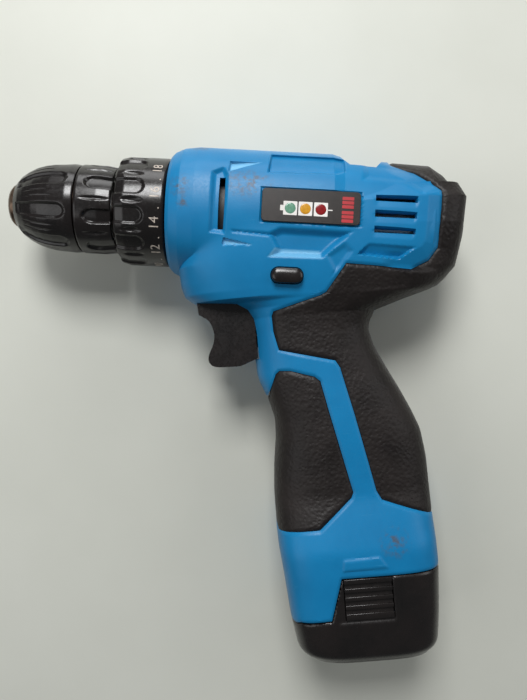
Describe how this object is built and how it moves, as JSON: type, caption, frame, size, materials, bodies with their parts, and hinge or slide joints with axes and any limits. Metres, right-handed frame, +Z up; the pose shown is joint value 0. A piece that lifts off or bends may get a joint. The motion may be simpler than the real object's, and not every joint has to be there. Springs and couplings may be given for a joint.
{
  "type": "cordless drill driver",
  "caption": "Pistol-grip cordless drill driver with keyless chuck, torque collar, trigger, direction button and slide-out battery.",
  "frame": {"origin": "centre of the battery's flat underside, on which the drill stands", "axes": "+Z up, the chuck points to -X and 7.5 degrees upwards, the tool's left side faces -Y, and Y = 0 is the split between the housing halves"},
  "size_m": [0.1842, 0.0515, 0.2072],
  "materials": {
    "blue_nylon": "satin",
    "rubber": "leather-grained matt",
    "black_plastic": "semi-gloss",
    "dark_plastic": "fine matt",
    "grey_nylon": "matt",
    "white_nylon": "matt",
    "clear_plastic": "gloss",
    "steel": "ground",
    "dark_steel": "blackened",
    "spring_steel": "drawn",
    "magnet": "matt",
    "copper": "enamelled",
    "brass": "bright",
    "carbon": "matt",
    "board": "solder mask",
    "cell_wrap": "shrink film",
    "wire": "smooth"
  },
  "bodies": {
    "housing": {"housing_left": "blue_nylon", "housing_right": "blue_nylon", "rear_grip_left": "rubber", "rear_grip_right": "rubber", "front_grip_left": "rubber", "front_grip_right": "rubber", "housing_screws": "dark_steel", "indicator_panel": "black_plastic", "indicator_lenses": "clear_plastic", "indicator_board": "board", "gear_case": "grey_nylon", "spindle_bearings": "steel", "fixed_ring_gear": "dark_steel", "clutch_ring_gear": "steel", "clutch_balls": "steel", "clutch_washer": "steel", "clutch_spring": "spring_steel", "motor_plate": "dark_steel", "motor_can": "steel", "motor_magnets": "magnet", "motor_end_cap": "white_nylon", "motor_brushes": "carbon", "switch_body": "dark_plastic", "trigger_spring": "spring_steel", "terminal_block": "dark_plastic", "leads": "wire"},
    "spindle": {"spindle": "steel", "output_carrier": "steel", "chuck_body": "steel", "chuck_rear_sleeve": "black_plastic", "chuck_screw": "dark_steel"},
    "chuck_sleeve": {"chuck_front_sleeve": "black_plastic", "chuck_nut": "steel"},
    "jaw_1": {"jaw_1": "steel"},
    "jaw_2": {"jaw_2": "steel"},
    "jaw_3": {"jaw_3": "steel"},
    "output_planet_1": {"output_planet_1": "dark_steel"},
    "output_planet_2": {"output_planet_2": "dark_steel"},
    "output_planet_3": {"output_planet_3": "dark_steel"},
    "middle_carrier": {"middle_carrier": "steel"},
    "middle_planet_1": {"middle_planet_1": "dark_steel"},
    "middle_planet_2": {"middle_planet_2": "dark_steel"},
    "middle_planet_3": {"middle_planet_3": "dark_steel"},
    "rotor": {"motor_pinion": "brass", "motor_shaft": "steel", "armature_core": "dark_steel", "armature_windings": "copper", "commutator": "copper"},
    "torque_collar": {"torque_collar": "black_plastic"},
    "clutch_nut": {"clutch_nut": "grey_nylon"},
    "trigger": {"trigger": "dark_plastic"},
    "direction_button": {"direction_button": "black_plastic"},
    "direction_lever": {"direction_lever": "grey_nylon"},
    "battery": {"battery_base": "black_plastic", "battery_tower": "black_plastic", "battery_cells": "cell_wrap", "battery_board": "board", "release_springs": "spring_steel"},
    "release_button_left": {"release_button_left": "black_plastic"},
    "release_button_right": {"release_button_right": "black_plastic"}
  },
  "joints": [
    {"name": "spindle_spin", "type": "hinge", "parent": "housing", "child": "spindle", "pos_m": [-0.09574, 0, 0.18592], "axis": [0.9914, 0, -0.1305], "continuous": true},
    {"name": "middle_carrier_spin", "type": "hinge", "parent": "housing", "child": "middle_carrier", "pos_m": [-0.04022, 0, 0.17861], "axis": [0.9914, 0, -0.1305], "continuous": true},
    {"name": "rotor_spin", "type": "hinge", "parent": "housing", "child": "rotor", "pos_m": [0.0034, 0, 0.17286], "axis": [0.9914, 0, -0.1305], "continuous": true},
    {"name": "output_planet_1_spin", "type": "hinge", "parent": "spindle", "child": "output_planet_1", "pos_m": [-0.04903, 0, 0.17069], "axis": [0.9914, 0, -0.1305], "continuous": true},
    {"name": "middle_planet_1_spin", "type": "hinge", "parent": "middle_carrier", "child": "middle_planet_1", "pos_m": [-0.03426, 0, 0.16874], "axis": [0.9914, 0, -0.1305], "continuous": true},
    {"name": "output_planet_2_spin", "type": "hinge", "parent": "spindle", "child": "output_planet_2", "pos_m": [-0.04727, 0.00779, 0.18407], "axis": [0.9914, 0, -0.1305], "continuous": true},
    {"name": "middle_planet_2_spin", "type": "hinge", "parent": "middle_carrier", "child": "middle_planet_2", "pos_m": [-0.0325, 0.00779, 0.18213], "axis": [0.9914, 0, -0.1305], "continuous": true},
    {"name": "output_planet_3_spin", "type": "hinge", "parent": "spindle", "child": "output_planet_3", "pos_m": [-0.04727, -0.00779, 0.18407], "axis": [0.9914, 0, -0.1305], "continuous": true},
    {"name": "middle_planet_3_spin", "type": "hinge", "parent": "middle_carrier", "child": "middle_planet_3", "pos_m": [-0.0325, -0.00779, 0.18213], "axis": [0.9914, 0, -0.1305], "continuous": true},
    {"name": "chuck_sleeve_turn", "type": "hinge", "parent": "spindle", "child": "chuck_sleeve", "pos_m": [-0.12053, 0, 0.18918], "axis": [0.9914, 0, -0.1305], "range_deg": [0, 2880]},
    {"name": "jaw_1_slide", "type": "slide", "parent": "spindle", "child": "jaw_1", "axis": [0.9408, 0.2241, -0.2544], "range_m": [0, 0.01781]},
    {"name": "jaw_2_slide", "type": "slide", "parent": "spindle", "child": "jaw_2", "axis": [0.9914, 0, 0.1305], "range_m": [0, 0.01781]},
    {"name": "jaw_3_slide", "type": "slide", "parent": "spindle", "child": "jaw_3", "axis": [0.9408, -0.2241, -0.2544], "range_m": [0, 0.01781]},
    {"name": "torque_collar_turn", "type": "hinge", "parent": "housing", "child": "torque_collar", "pos_m": [-0.0779, 0, 0.18357], "axis": [-0.9914, 0, 0.1305], "range_deg": [0, 300]},
    {"name": "clutch_nut_slide", "type": "slide", "parent": "torque_collar", "child": "clutch_nut", "axis": [-0.9914, 0, 0.1305], "range_m": [0, 0.00601], "deforming": ["clutch_spring"]},
    {"name": "trigger_pull", "type": "slide", "parent": "housing", "child": "trigger", "axis": [1, 0, 0], "range_m": [0, 0.007], "stiffness_N_per_m": 600, "springref_m": -0.006, "deforming": ["trigger_spring"]},
    {"name": "direction_button_slide", "type": "slide", "parent": "housing", "child": "direction_button", "axis": [0, 1, 0], "range_m": [-0.0025, 0.0025]},
    {"name": "direction_lever_turn", "type": "hinge", "parent": "housing", "child": "direction_lever", "pos_m": [-0.008, 0, 0.14], "axis": [0, 0, 1], "range_deg": [-11.3, 11.3]},
    {"name": "battery_slide", "type": "slide", "parent": "housing", "child": "battery", "axis": [0, 0, -1], "range_m": [0, 0.09]},
    {"name": "release_left_press", "type": "slide", "parent": "battery", "child": "release_button_left", "axis": [0, 1, 0], "range_m": [0, 0.0022], "stiffness_N_per_m": 900, "springref_m": -0.002, "deforming": ["release_springs"]},
    {"name": "release_right_press", "type": "slide", "parent": "battery", "child": "release_button_right", "axis": [0, -1, 0], "range_m": [0, 0.0022], "stiffness_N_per_m": 900, "springref_m": -0.002, "deforming": ["release_springs"]}
  ],
  "couplings": [
    {"joint": "middle_carrier_spin", "follows": "spindle_spin", "ratio": 5},
    {"joint": "rotor_spin", "follows": "spindle_spin", "ratio": 25},
    {"joint": "output_planet_1_spin", "follows": "spindle_spin", "ratio": -2.6667},
    {"joint": "middle_planet_1_spin", "follows": "spindle_spin", "ratio": -13.333},
    {"joint": "output_planet_2_spin", "follows": "spindle_spin", "ratio": -2.6667},
    {"joint": "middle_planet_2_spin", "follows": "spindle_spin", "ratio": -13.333},
    {"joint": "output_planet_3_spin", "follows": "spindle_spin", "ratio": -2.6667},
    {"joint": "middle_planet_3_spin", "follows": "spindle_spin", "ratio": -13.333},
    {"joint": "jaw_1_slide", "follows": "chuck_sleeve_turn", "m_per_rad": 0.00035412},
    {"joint": "jaw_2_slide", "follows": "chuck_sleeve_turn", "m_per_rad": 0.00035412},
    {"joint": "jaw_3_slide", "follows": "chuck_sleeve_turn", "m_per_rad": 0.00035412},
    {"joint": "clutch_nut_slide", "follows": "torque_collar_turn", "m_per_rad": 0.0011459},
    {"joint": "direction_lever_turn", "follows": "direction_button_slide", "rad_per_m": -77.5}
  ]
}
